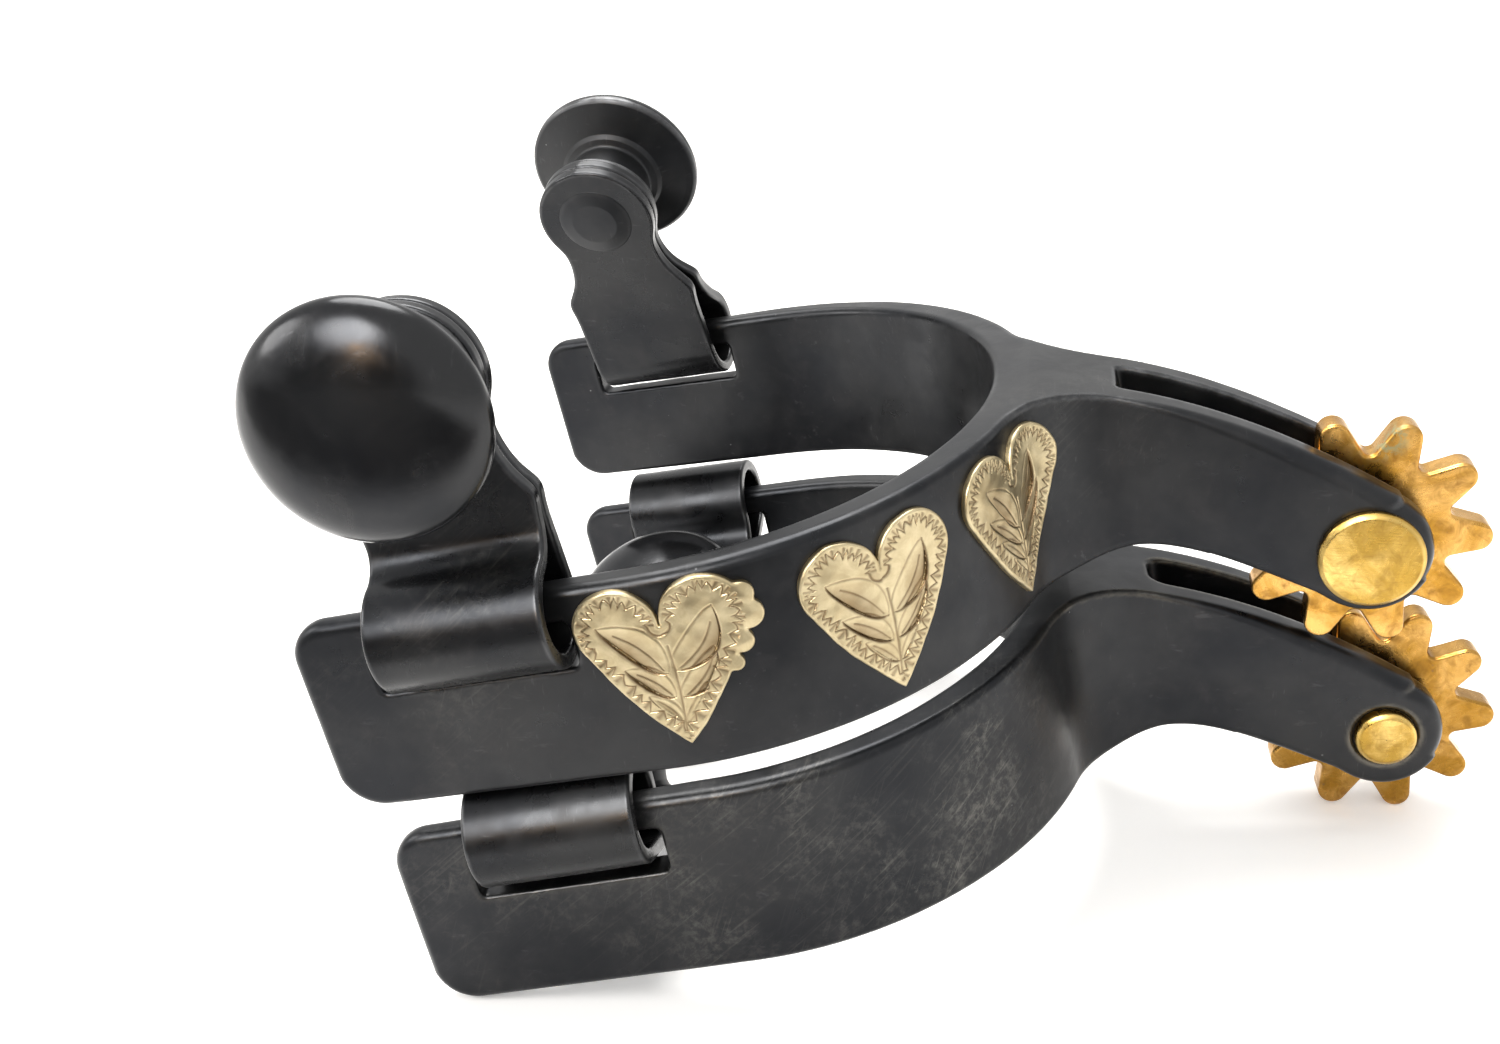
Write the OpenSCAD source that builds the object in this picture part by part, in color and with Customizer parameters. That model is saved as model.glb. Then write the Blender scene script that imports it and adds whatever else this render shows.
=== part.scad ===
// Pair of western spurs stacked on a flat surface.
// The right spur lies on the surface with its inner side towards -Y; the
// left spur lies on top of it with its heart overlays towards -Y.
// X runs from the arm ends (-X) to the rowels (+X), Z is up, and the origin
// is the middle of the footprint on the supporting surface. Millimetres.

/* [Heel band] */
// Height of the band, bottom edge to top edge
band_height = 24.6; // [24:0.1:25.2]
// Radius of the inner face round the boot heel
heel_r = 42.2; // [41.8:0.1:42.6]
// Length of each arm forward of the heel centre
arm_len = 36.4; // [35.5:0.1:37.5]
// Distance from the middle plane to the inner face at the arm end
arm_in = 45.2; // [44.8:0.1:45.6]
// Distance from the middle plane to the outer face at the arm end
arm_out = 48.1; // [47.9:0.1:48.5]
// Radius of the outer face of the heel
outer_r = 46.15; // [46:0.05:46.4]
// Rearward offset of the outer face, which thickens the heel
outer_x = 1.05; // [0.8:0.05:1.2]
// Corner radius at the bottom of an arm end
end_r_low = 5; // [4:0.1:5.5]
// Corner radius at the top of an arm end
end_r_top = 4; // [3:0.1:4.5]

/* [Hanger slot] */
// Start of the slot, measured along the arm from its end
slot_start = 9.3; // [9:0.1:9.6]
// End of the slot, measured along the arm from its end
slot_end = 33.1; // [32.8:0.1:33.4]
// Lower edge of the slot
slot_low = 14.7; // [14.5:0.05:14.8]
// Upper edge of the slot, which is the underside of the top bar
slot_top = 20.8; // [20.7:0.05:21]

/* [Shank] */
// Half thickness of the shank where it leaves the heel
shank_root_w = 7.3; // [7:0.1:7.6]
// Half thickness of the shank at the rowel pin
shank_pin_w = 8; // [7.9:0.1:8.2]
// Fillet radius between heel and shank, seen from above
fillet_r = 14; // [13:0.5:15]
// Distance of the rowel pin behind the heel centre
pin_x = 85.1; // [84.5:0.1:85.7]
// Height of the rowel pin, from the bottom edge of the band
pin_z = -3.75; // [-3.9:0.05:-3.6]
// Radius of the rounded shank tip
tip_r = 7.8; // [7.6:0.1:8]
// Start of the rowel slot behind the heel centre
rowel_slot_x = 57.6; // [57.2:0.1:58]
// Half width of the rowel slot
rowel_slot_w = 3.7; // [3.4:0.1:3.9]

/* [Rowel and pin] */
// Tip radius of the rowel
rowel_r = 15.87; // [15.7:0.01:15.9]
// Rowel thickness
rowel_t = 3.6; // [3.2:0.1:4]
// Number of rowel points
points = 10; // [10:1:10]
// Pin radius
pin_r = 4; // [3.9:0.05:4.05]
// Radial running gap between rowel and pin
run_gap = 0.08; // [0.04:0.01:0.1]
// Radius of the large pin head
head_r = 6.45; // [6.2:0.05:6.6]
// Thickness of the large pin head
head_t = 1.3; // [1:0.1:1.6]

/* [Hangers and buttons] */
// Distance of the hanger middle from the arm end
hanger_pos = 21.4; // [21.2:0.1:21.6]
// Height of the hinge line, which is the middle of the top bar
hinge_z = 22.5; // [22.4:0.05:22.6]
// Outer radius of the folded loop
loop_r = 6.7; // [6.6:0.05:6.8]
// Sheet thickness of the hanger
sheet = 1.8; // [1.6:0.05:1.85]
// Half width of the hanger body
hanger_w = 10.2; // [10:0.1:10.4]
// Height of the rivet above the hinge line
rivet_z = 27.1; // [26.8:0.1:27.4]
// Radius of the hanger head
head_lobe_r = 8.9; // [8.7:0.05:9]
// Button radius
button_r = 13.1; // [12.9:0.1:13.3]

/* [Heart overlays] */
// Width of a heart
heart_w = 19.4; // [19:0.1:19.6]
// Height of a heart from tip to lobe tops
heart_h = 20.2; // [20:0.1:20.4]
// Thickness of the overlay
heart_t = 0.8; // [0.6:0.05:0.9]

/* [Pose] */
// Rise of the heel and shank of the lower spur, degrees
rear_lift = 9.3; // [9.2:0.05:9.4]
// Inward lean of the left spur's inner hanger, degrees
left_inner_lean = 21; // [0:1:30]
// Fold of the right spur's inner hanger from upright, degrees
right_inner_fold = 121; // [112:1:122]
// Fold of the right spur's outer hanger from upright, degrees
right_outer_fold = 115; // [110:1:122]

/* [Hidden] */
$fn = 96;
steel = [0.09, 0.095, 0.105];
brass = [0.79, 0.60, 0.25];
silver = [0.80, 0.76, 0.64];

// heel centres of the two spurs, at the bottom edge of the band
right_pos = [-26.955, 6.3, 5.26];
left_pos = right_pos + [-5.15, -2.68, 30.2];
left_turn = [1.6, -9.35, -2.8];
// play of the left outer hanger on its bar
left_outer_shift = [1, -0.05, 0];
// turn of each rowel about its pin, degrees
right_rowel_turn = 97;
left_rowel_turn = 98.5;

// slope of an arm's outer face, and of its middle line
outer_tilt = atan((arm_out - outer_r)/(arm_len + outer_x));
arm_end_y = (arm_in + arm_out)/2;
arm_tilt = atan((arm_end_y - (heel_r + outer_r)/2)/arm_len);
// centre of the heel-to-shank fillet, and its direction from the outer face's centre
fillet_y = shank_root_w + fillet_r;
fillet_x = outer_x + sqrt(pow(outer_r + fillet_r, 2) - fillet_y*fillet_y);
fillet_a = asin(fillet_y/(outer_r + fillet_r));
// bottom and height of the tall vertical prisms and cutters
tall_z = -40;
tall_h = 90;

// ---------- placing ----------
module right_spur() {
    translate(right_pos) rotate([0, -rear_lift, 0]) children();
}
module left_spur() {
    translate(left_pos) rotate(left_turn) children();
}
// parts are drawn for the +Y side; side = -1 mirrors them to -Y
module on_side(side) {
    if (side > 0) children();
    else mirror([0, 1, 0]) children();
}
// frame of an arm on the +Y side: X along the arm from its end, Y outward
module arm_frame() {
    translate([-arm_len, arm_end_y, 0]) rotate([0, 0, -arm_tilt]) children();
}
// frame of a hanger on the +Y side: X along the bar, Y outward, Z up the leaves;
// a positive lean is outward
module hanger_frame(lean) {
    arm_frame() translate([hanger_pos, 0, hinge_z]) rotate([-lean, 0, 0]) children();
}

// ---------- heel band and shank ----------
shank_x0 = 41;       // front of the shank, inside the heel
taper_x = 47;        // where the edges leave the band's level
crest_x = 57;        // highest place of the lower edge
crest_z = 1.2;
side_end_x = 90;     // rear end of the top edge
low_end_x = 81;      // rear end of the lower edge
flare_x = 76;        // where the shank reaches its full thickness
plan_end_x = 100;
root_y = 18;         // half width at the shank's front, inside the heel
arm_overrun = 20;    // arm outline drawn past its end before trimming
slot_corner_r = 0.8;
rowel_slot_corner_r = 1.5;
relief_depth = 0.9;
relief_w = 0.6;

// upper and lower edges of the shank from the side
function top_z(x) =
    x < taper_x ? band_height
                : band_height - 0.16*(x - taper_x) - 0.0081*pow(x - taper_x, 2);
function low_z(x) =
    x < taper_x ? 0
    : x < crest_x ? crest_z/2*(1 - cos(180*(x - taper_x)/(crest_x - taper_x)))
    : crest_z - 7*(sqrt(1 + pow((x - crest_x)/10, 2)) - 1);

module outer_plan() {
    translate([outer_x, 0]) circle(outer_r);
    end_x = -arm_len - arm_overrun*cos(outer_tilt);
    for (m = [0, 1]) mirror([0, m])
        polygon([[end_x, 0],
                 [end_x, arm_out + arm_overrun*sin(outer_tilt)],
                 [outer_x + outer_r*sin(outer_tilt), outer_r*cos(outer_tilt)],
                 [outer_x, 0]]);
}
module inner_plan() {
    far_x = -arm_len*2;
    far_y = heel_r + (arm_in - heel_r)*2;
    circle(heel_r);
    polygon([[0, -heel_r], [0, heel_r], [far_x, far_y], [far_x, -far_y]]);
}
module band_plan() {
    difference() {
        intersection() {
            outer_plan();
            translate([-arm_len, -60]) square([arm_len + outer_x + outer_r, 120]);
        }
        inner_plan();
    }
}
module shank_side() {
    polygon(concat([for (x = [shank_x0 : 1 : side_end_x]) [x, top_z(x)]],
                   [[pin_x, pin_z]],
                   [for (x = [low_end_x : -1 : shank_x0]) [x, low_z(x)]]));
    translate([pin_x, pin_z]) circle(tip_r);
}
module shank_plan() {
    for (m = [0, 1]) mirror([0, m]) {
        polygon([[shank_x0, 0], [shank_x0, shank_root_w], [fillet_x, shank_root_w],
                 [flare_x, shank_pin_w], [plan_end_x, shank_pin_w], [plan_end_x, 0]]);
        difference() {
            polygon([[shank_x0, 0], [shank_x0, root_y],
                     [outer_x + outer_r*cos(fillet_a), outer_r*sin(fillet_a)],
                     [fillet_x, fillet_y], [fillet_x, 0]]);
            translate([fillet_x, fillet_y]) circle(fillet_r);
            circle(heel_r + 0.6);
        }
    }
}
module hanger_slot_2d() {
    r = slot_corner_r;
    length = slot_end - slot_start;
    height = slot_top - slot_low;
    translate([slot_start, slot_low + r]) square([length, height - 2*r]);
    translate([slot_start + r, slot_low]) square([length - 2*r, height]);
    for (x = [slot_start + r, slot_end - r], z = [slot_low + r, slot_top - r])
        translate([x, z]) circle(r);
}
// cutter that rounds a corner standing at the origin
module corner_2d(r) {
    margin = 2;
    difference() {
        translate([-margin, -margin]) square([r + margin, r + margin]);
        translate([r, r]) circle(r);
    }
}
// rowel slot, open at the tip, with rounded front corners
module rowel_slot() {
    r = rowel_slot_corner_r;
    half = rowel_slot_w - r;
    translate([rowel_slot_x + r, -rowel_slot_w, tall_z]) cube([60, 2*rowel_slot_w, tall_h]);
    translate([rowel_slot_x, -half, tall_z]) cube([60, 2*half, tall_h]);
    for (y = [-1, 1])
        translate([rowel_slot_x + r, y*half, tall_z]) cylinder(h = tall_h, r = r);
}
// side is where the spur's outer side lies: +1 for +Y, -1 for -Y
module heel_band(side) {
    on_side(side) difference() {
        union() {
            linear_extrude(band_height) band_plan();
            intersection() {
                translate([0, 0, tall_z]) linear_extrude(tall_h) shank_plan();
                translate([0, 30, 0]) rotate([90, 0, 0]) linear_extrude(60) shank_side();
            }
        }
        for (m = [0, 1]) mirror([0, m, 0]) arm_frame() {
            translate([0, 8, 0]) rotate([90, 0, 0]) linear_extrude(16) {
                hanger_slot_2d();
                corner_2d(end_r_low);
                translate([0, band_height]) mirror([0, 1]) corner_2d(end_r_top);
            }
        }
        rowel_slot();
        // pin bore with a shallow relief ring on the inner side
        translate([pin_x, 20, pin_z]) rotate([90, 0, 0]) cylinder(h = 40, r = pin_r);
        translate([pin_x, -shank_pin_w + relief_depth, pin_z]) rotate([90, 0, 0])
            cylinder(h = 5, r = pin_r + relief_w);
    }
}

// ---------- rowel and pin ----------
// large head on the outer side, bevelled tail standing proud of the inner side
module rowel_pin(side) {
    tail = 0.55;
    tail_bevel = 0.35;
    under_bevel = [0.15, 0.2];  // radial, axial
    rim_bevel = [0.5, 0.45];
    face = shank_pin_w;
    on_side(side) translate([pin_x, 0, pin_z]) rotate([-90, 0, 0]) rotate_extrude()
        polygon([[0, -face - tail], [pin_r - tail_bevel, -face - tail],
                 [pin_r, -face - tail + tail_bevel], [pin_r, face],
                 [head_r - under_bevel[0], face], [head_r, face + under_bevel[1]],
                 [head_r, face + head_t - rim_bevel[1]],
                 [head_r - rim_bevel[0], face + head_t],
                 [0, face + head_t]]);
}
// round-tipped teeth with round gaps between them
module rowel(turn) {
    step = 360/points;
    body_r = 10.5;
    lobe_r = 1.95;
    gap_r = 1;
    lobe_x = rowel_r - lobe_r;
    gap_dist = 12;
    gap_x = gap_dist*cos(step/2);
    gap_y = gap_dist*sin(step/2);
    lobe_to_gap = sqrt(pow(lobe_x - gap_x, 2) + gap_y*gap_y);
    // direction of the tooth flank's normal, common to the tip arc and the gap arc
    aim = atan2(gap_y, gap_x - lobe_x) - acos((lobe_r + gap_r)/lobe_to_gap);
    normal = [cos(aim), sin(aim)];
    flank = [[gap_x, gap_y], [gap_x, gap_y] - gap_r*normal, [lobe_x, 0] + lobe_r*normal];
    translate([pin_x, rowel_t/2, pin_z]) rotate([90, 0, 0]) linear_extrude(rowel_t)
        difference() {
            union() {
                circle(body_r);
                for (i = [0 : points - 1]) rotate(turn + i*step) {
                    polygon(concat([[0, 0]],
                                   [for (i = [0 : 2]) [flank[i][0], -flank[i][1]]],
                                   [[lobe_x, 0]],
                                   [for (i = [2 : -1 : 0]) flank[i]]));
                    translate([lobe_x, 0]) circle(lobe_r);
                }
            }
            for (i = [0 : points - 1]) rotate(turn + i*step)
                translate([gap_x, gap_y]) circle(gap_r);
            circle(pin_r + run_gap);
        }
}

// ---------- hanger and button ----------
// The sheet is folded round the bar: a loop, two straight runs closing in
// on each other, then two leaves side by side.
leaf_gap = 0.05;               // from the middle plane to a leaf
leaf_y = sheet/2 + leaf_gap;   // middle of a leaf
leaf_face = sheet + leaf_gap;  // outer face of a leaf
leaf_z = 19;                   // height where runs bend into leaves
loop_mid_r = loop_r - sheet/2;
// the run is tangent to the loop and ends at the bend
bend_dist = sqrt(leaf_y*leaf_y + leaf_z*leaf_z);
tangent_a = atan2(leaf_z, leaf_y) - acos(loop_mid_r/bend_dist);
run_len = sqrt(bend_dist*bend_dist - loop_mid_r*loop_mid_r);
bend_a = acos((leaf_z - loop_mid_r*sin(tangent_a))/run_len);
mitre = sheet/2*tan(bend_a/2);
rivet_r = 3;

// section across the bar: x outward, y up the leaves
module fold_2d() {
    for (m = [0, 1]) mirror([m, 0]) {
        rotate(tangent_a) translate([loop_r - sheet, 0]) square([sheet, run_len + mitre]);
        intersection() {
            rotate(tangent_a) intersection() {
                difference() {
                    circle(loop_r);
                    circle(loop_r - sheet);
                }
                translate([-20, -20]) square([40, 20]);
            }
            translate([0, -20]) square([20, 40]);
        }
        translate([leaf_y - sheet/2, leaf_z - mitre]) square([sheet, 22]);
    }
}
// face view: body, neck with a round notch each side, shoulder tips, round head
module leaf_outline() {
    body_low = -10;
    body_top = 13;
    neck_w = 7.8;
    neck_top = 24;
    difference() {
        union() {
            translate([-hanger_w, body_low]) square([2*hanger_w, body_top - body_low]);
            translate([-neck_w, 0]) square([2*neck_w, neck_top]);
        }
        for (x = [-1, 1]) translate([x*14, 17.6]) circle(6.5);
    }
    for (x = [-1, 1]) translate([x*(hanger_w - 0.15), 11.7]) circle(0.75);
    translate([0, rivet_z]) circle(head_lobe_r);
}
module hanger(side, lean) {
    on_side(side) hanger_frame(lean) difference() {
        intersection() {
            translate([-15, 0, 0]) rotate([90, 0, 90]) linear_extrude(30) fold_2d();
            translate([0, 15, 0]) rotate([90, 0, 0]) linear_extrude(30) leaf_outline();
        }
        translate([0, 10, rivet_z]) rotate([90, 0, 0]) cylinder(h = 20, r = rivet_r);
    }
}
// rivet, stepped collar, stem and domed cap, turned about the rivet's axis
module button(side, lean) {
    tail_t = 0.5;
    tail_r = 4.8;
    collar_t = 1;
    stem_r = 6.2;
    rim_y = 11.4;  // outward distance of the rim's underside
    dome_y = rim_y + 1;
    dome_h = 4.6;
    dome_r = (button_r*button_r + dome_h*dome_h)/(2*dome_h);
    on_side(side) hanger_frame(lean) translate([0, 0, rivet_z]) rotate([-90, 0, 0])
        rotate_extrude() difference() {
            union() {
                translate([0, -leaf_face - tail_t]) square([rivet_r, 2*leaf_face + 2*tail_t]);
                translate([0, -leaf_face - tail_t]) square([tail_r, tail_t]);
                translate([0, leaf_face]) square([8.6, collar_t]);
                translate([0, leaf_face]) square([7.6, 2.2]);
                translate([0, leaf_face + collar_t])
                    square([stem_r, rim_y - leaf_face - 1.5]);
                polygon([[0, rim_y - 1.6], [7.4, rim_y - 1.6],
                         [button_r - 1.2, rim_y - 0.4], [button_r - 0.3, rim_y],
                         [button_r, rim_y + 0.5], [button_r, dome_y], [0, dome_y]]);
                intersection() {
                    translate([0, dome_y + dome_h - dome_r]) circle(dome_r);
                    translate([0, dome_y]) square([button_r, dome_h + 1]);
                }
            }
            translate([-40, -20]) square([40, 80]);
        }
}

// ---------- heart overlays ----------
// [distance of the heart's middle from the arm end, round the outer face; tip height]
heart_front = [43.4, 3.7];
heart_middle = [68.4, 2.3];
heart_rear = [91.5, 2.6];
rear_skin_from = 60;  // hearts at or beyond this distance use the rear skin
heart_bow = 2.6;      // four times the outward bow of a heart's sides
// bumps on one edge of the left front heart: [x, height above the tip, radius]
edge_bumps = [[9.6, 14.2, 1.6], [9.2, 16.6, 1.5], [8.2, 11.0, 1.3], [7.0, 8.6, 0.9]];

// quarter of the heel's outer face, thickened outward
module heel_skin() {
    intersection() {
        difference() {
            circle(outer_r + heart_t);
            circle(outer_r);
        }
        square([70, 70]);
    }
}
// skin on the outer face of the arm and heel
module skin_front() {
    translate([outer_x, 0]) rotate(-outer_tilt) {
        translate([-30, outer_r]) square([30, heart_t]);
        heel_skin();
    }
}
// skin on the outer face of the heel and the fillet
module skin_rear() {
    translate([outer_x, 0]) rotate(fillet_a) {
        heel_skin();
        translate([outer_r, 0]) intersection() {
            translate([fillet_r, 0]) difference() {
                circle(fillet_r);
                circle(fillet_r - heart_t);
            }
            translate([0, -12]) square([12, 12]);
        }
    }
}
// heart with its tip at the origin; its sides bow and meet the lobes
module heart_2d() {
    lobe_r = heart_w/4;
    lobe_z = heart_h - lobe_r;
    lobe_dist = sqrt(lobe_r*lobe_r + lobe_z*lobe_z);
    side_a = atan2(lobe_z, lobe_r) - asin(lobe_r/lobe_dist);
    side_len = sqrt(lobe_dist*lobe_dist - lobe_r*lobe_r);
    along = [cos(side_a), sin(side_a)];
    out = [sin(side_a), -cos(side_a)];
    for (m = [0, 1]) mirror([m, 0]) {
        translate([lobe_r, lobe_z]) circle(lobe_r);
        polygon(concat([[0, lobe_z], [0, 0]],
                       [for (i = [0.04 : 0.08 : 1])
                           i*side_len*along + heart_bow*i*(1 - i)*out],
                       [side_len*along]));
    }
}
module heart(side, place, bumps = []) {
    straight = (arm_len + outer_x)/cos(outer_tilt);
    turn = place[0] < straight ? 0 : (place[0] - straight)/outer_r*180/PI;
    on_side(side) intersection() {
        linear_extrude(40) {
            if (place[0] < rear_skin_from) skin_front();
            else skin_rear();
        }
        translate([outer_x, 0, place[1]]) rotate([0, 0, -turn])
            translate([0, 54, 0]) rotate([90, 0, 0]) linear_extrude(11) {
                heart_2d();
                for (bump = bumps) translate([bump[0], bump[1]]) circle(bump[2]);
            }
    }
}

// ---------- nodes ----------
module right_heel_band() { color(steel) right_spur() heel_band(1); }
module right_rowel_pin() { color(brass) right_spur() rowel_pin(1); }
module right_rowel() { color(brass) right_spur() rowel(right_rowel_turn); }
module right_inner_hanger() { color(steel) right_spur() hanger(-1, -right_inner_fold); }
module right_inner_button() { color(steel) right_spur() button(-1, -right_inner_fold); }
module right_outer_hanger() { color(steel) right_spur() hanger(1, -right_outer_fold); }
module right_outer_button() { color(steel) right_spur() button(1, -right_outer_fold); }
module right_heart_front() { color(silver) right_spur() heart(1, heart_front); }
module right_heart_middle() { color(silver) right_spur() heart(1, heart_middle); }
module right_heart_rear() { color(silver) right_spur() heart(1, heart_rear); }
module left_heel_band() { color(steel) left_spur() heel_band(-1); }
module left_rowel_pin() { color(brass) left_spur() rowel_pin(-1); }
module left_rowel() { color(brass) left_spur() rowel(left_rowel_turn); }
module left_inner_hanger() { color(steel) left_spur() hanger(1, -left_inner_lean); }
module left_inner_button() { color(steel) left_spur() button(1, -left_inner_lean); }
module left_outer_hanger() {
    color(steel) left_spur() translate(left_outer_shift) hanger(-1, 0);
}
module left_outer_button() {
    color(steel) left_spur() translate(left_outer_shift) button(-1, 0);
}
module left_heart_front() { color(silver) left_spur() heart(-1, heart_front, edge_bumps); }
module left_heart_middle() { color(silver) left_spur() heart(-1, heart_middle); }
module left_heart_rear() { color(silver) left_spur() heart(-1, heart_rear); }

right_heel_band();
right_rowel_pin();
right_rowel();
right_inner_hanger();
right_inner_button();
right_outer_hanger();
right_outer_button();
right_heart_front();
right_heart_middle();
right_heart_rear();
left_heel_band();
left_rowel_pin();
left_rowel();
left_inner_hanger();
left_inner_button();
left_outer_hanger();
left_outer_button();
left_heart_front();
left_heart_middle();
left_heart_rear();
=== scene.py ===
# A pair of spurs on a pale table: heel bands with shanks, star rowels on pins, folded strap
# hangers with buttons, and engraved hearts. In the row frame x runs rearwards, z is up, and
# the camera looks along +y. The left spur lies above the right one. Each spur is designed in
# its own frame in mm: x rearwards from the heel centre, y outward (+) or inward (-), z up from
# the band's lower edge. The right spur's outer side faces +y in the row, the left's faces -y.
import functools
import math
import bpy
import numpy as np
from mathutils import Matrix, Vector


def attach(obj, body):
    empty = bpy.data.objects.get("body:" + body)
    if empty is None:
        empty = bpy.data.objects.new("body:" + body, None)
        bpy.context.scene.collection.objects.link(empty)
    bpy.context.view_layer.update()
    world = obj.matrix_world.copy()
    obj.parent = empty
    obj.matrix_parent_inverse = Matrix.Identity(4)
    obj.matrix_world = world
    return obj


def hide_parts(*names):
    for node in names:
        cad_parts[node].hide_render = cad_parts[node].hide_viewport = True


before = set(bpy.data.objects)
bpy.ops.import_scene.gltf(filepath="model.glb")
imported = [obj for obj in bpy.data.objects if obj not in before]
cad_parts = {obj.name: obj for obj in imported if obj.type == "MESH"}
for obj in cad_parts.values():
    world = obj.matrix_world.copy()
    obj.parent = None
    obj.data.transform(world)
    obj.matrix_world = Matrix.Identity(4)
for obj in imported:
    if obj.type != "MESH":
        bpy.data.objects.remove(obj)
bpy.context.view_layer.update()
SCENE = bpy.context.scene

# ------------------------------------------------------------------ sizes, mm, spur frame
BAND_H = 24.6
HEEL_IN_R = 42.2                                # inner heel curve, centred on x = 0
HEEL_OUT_R, HEEL_OUT_X = 46.15, 1.05            # outer heel curve and its centre
ARM_L, ARM_IN, ARM_OUT = 36.4, 45.2, 48.1       # arm length, inner and outer faces at its end
SHANK_Y0, SHANK_Y1, SHANK_X1 = 7.3, 8.0, 76     # half width at the fillet, and from x1 on
FILLET_R = 14.0                                 # between heel curve and shank
PIN_X, PIN_Z, SHANK_TIP_R = 85.1, -3.75, 7.8
ROWEL_SLOT_X, ROWEL_SLOT_Y = 57.6, 3.7          # slot's front end and half width
ROWEL_R, ROWEL_T, ROWEL_POINTS = 15.87, 3.6, 10
SHEET, EYE_OUT_R, RIVET_Z = 1.8, 6.7, 27.1      # hanger sheet, its eye, rivet height
BUTTON_R = 13.1
HANGER_S, HANGER_Z = 21.4, 22.5                 # hanger origin: along the arm, and height
LEAF_LIFT = 0.4                                 # leaf outline above the hanger origin

OUTER_TILT = math.atan((ARM_OUT - HEEL_OUT_R) / (ARM_L + HEEL_OUT_X))
INNER_TILT = math.acos(HEEL_IN_R / math.hypot(ARM_L, ARM_IN)) - math.atan2(ARM_L, ARM_IN)
FILLET_Y = SHANK_Y0 + FILLET_R
FILLET_X = HEEL_OUT_X + math.sqrt((HEEL_OUT_R + FILLET_R) ** 2 - FILLET_Y ** 2)
FILLET_A = math.asin(FILLET_Y / (HEEL_OUT_R + FILLET_R))
ARM_MID = (ARM_IN + ARM_OUT) / 2
ARM_A = math.atan((ARM_MID - (HEEL_IN_R + HEEL_OUT_R) / 2) / ARM_L)

# sampling cells, mm
BAND_CELL = 0.36
PART_CELL = 0.17
HEART_CELL = 0.10

SPURS = ("right", "left")


# ------------------------------------------------------------------ placing
def rotation(x, y, z):
    """turn about x, then y, then z, in degrees"""
    (cx, sx), (cy, sy), (cz, sz) = [(math.cos(a), math.sin(a)) for a in map(math.radians, (x, y, z))]
    about_x = np.array([[1, 0, 0], [0, cx, -sx], [0, sx, cx]])
    about_y = np.array([[cy, 0, sy], [0, 1, 0], [-sy, 0, cy]])
    about_z = np.array([[cz, -sz, 0], [sz, cz, 0], [0, 0, 1]])
    return about_z @ about_y @ about_x


ORIGIN_X, ORIGIN_Y = -26.955, 6.3
POSE = {"right": (rotation(0, -9.3, 0), np.array([ORIGIN_X, ORIGIN_Y, 5.26])),
        "left": (rotation(1.6, -9.35, -2.8), np.array([ORIGIN_X - 5.15, ORIGIN_Y - 2.68, 35.46]))}
OUTWARD = {"right": 1.0, "left": -1.0}          # row y direction of a spur's outer side


def mirrored(spur, points):
    return points * np.array([1.0, OUTWARD[spur], 1.0])


def posed(spur, points):
    turn, origin = POSE[spur]
    return points @ turn.T + origin


def in_row(spur, points):
    return posed(spur, mirrored(spur, points))


def hanger_in_row(spur, side, lean, offset, points):
    """points of a hanger (x along the bar, y away from the boot, z up the leaves) in the row.
    side +1 is the outer arm, -1 the inner arm; lean in degrees, + is outward"""
    lean = math.radians(lean)
    ca, sa = math.cos(ARM_A), math.sin(ARM_A)
    x = points[:, 0]
    y = points[:, 1] * math.cos(lean) + points[:, 2] * math.sin(lean)
    z = -points[:, 1] * math.sin(lean) + points[:, 2] * math.cos(lean)
    placed = np.stack([-ARM_L + HANGER_S * ca + x * ca + y * sa,
                       (ARM_MID - HANGER_S * sa - x * sa + y * ca) * side,
                       z + HANGER_Z], 1)
    return posed(spur, mirrored(spur, placed) + np.array(offset))


# ------------------------------------------------------------------ distance fields
def meet(a, b, radius):
    """intersection of two fields whose shared edge is rounded"""
    u, v = np.maximum(a + radius, 0), np.maximum(b + radius, 0)
    return np.where((a > -radius) & (b > -radius), np.hypot(u, v) - radius, np.maximum(a, b))


def merge(a, b, width):
    """union of two fields, blended over a width"""
    h = np.clip(0.5 + 0.5 * (b - a) / width, 0, 1)
    return b + (a - b) * h - width * h * (1 - h)


def within(value, low, high):
    return np.abs(value - (low + high) / 2) - (high - low) / 2


def uneven(x, y, z, size, seed):
    """slow unevenness of hand-finished metal, about -1 to 1"""
    rng = np.random.default_rng(seed)
    total = 0
    for i in range(5):
        k = rng.normal(size=3)
        k = k / np.linalg.norm(k) * (1 + 0.7 * i) / size
        wave = np.sin(x * k[0] + y * k[1] + z * k[2] + rng.uniform(0, 6.28))
        total = total + wave / (1 + 0.6 * i)
    return total / 2.4


def difference(field, points, step):
    """change of the field across each point, from -step to +step along each axis"""
    def at(offset):
        return field(*(points[:, axis] + offset[axis] for axis in range(3)))
    return np.stack([at(offset) - at(-offset) for offset in step * np.eye(3)], 1)


def convexity(field, points, reach):
    """worn-edge weight 0 to 1, and unit normals. Under a flat face the field at depth
    reach is -reach; near a convex edge it is shallower"""
    normal = difference(field, points, 0.15)
    normal = normal / np.maximum(np.linalg.norm(normal, axis=1, keepdims=True), 1e-9)
    depth = field(*(points - normal * reach).T) / -reach
    return np.clip((0.97 - depth) * 2.2, 0, 1), normal


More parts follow.
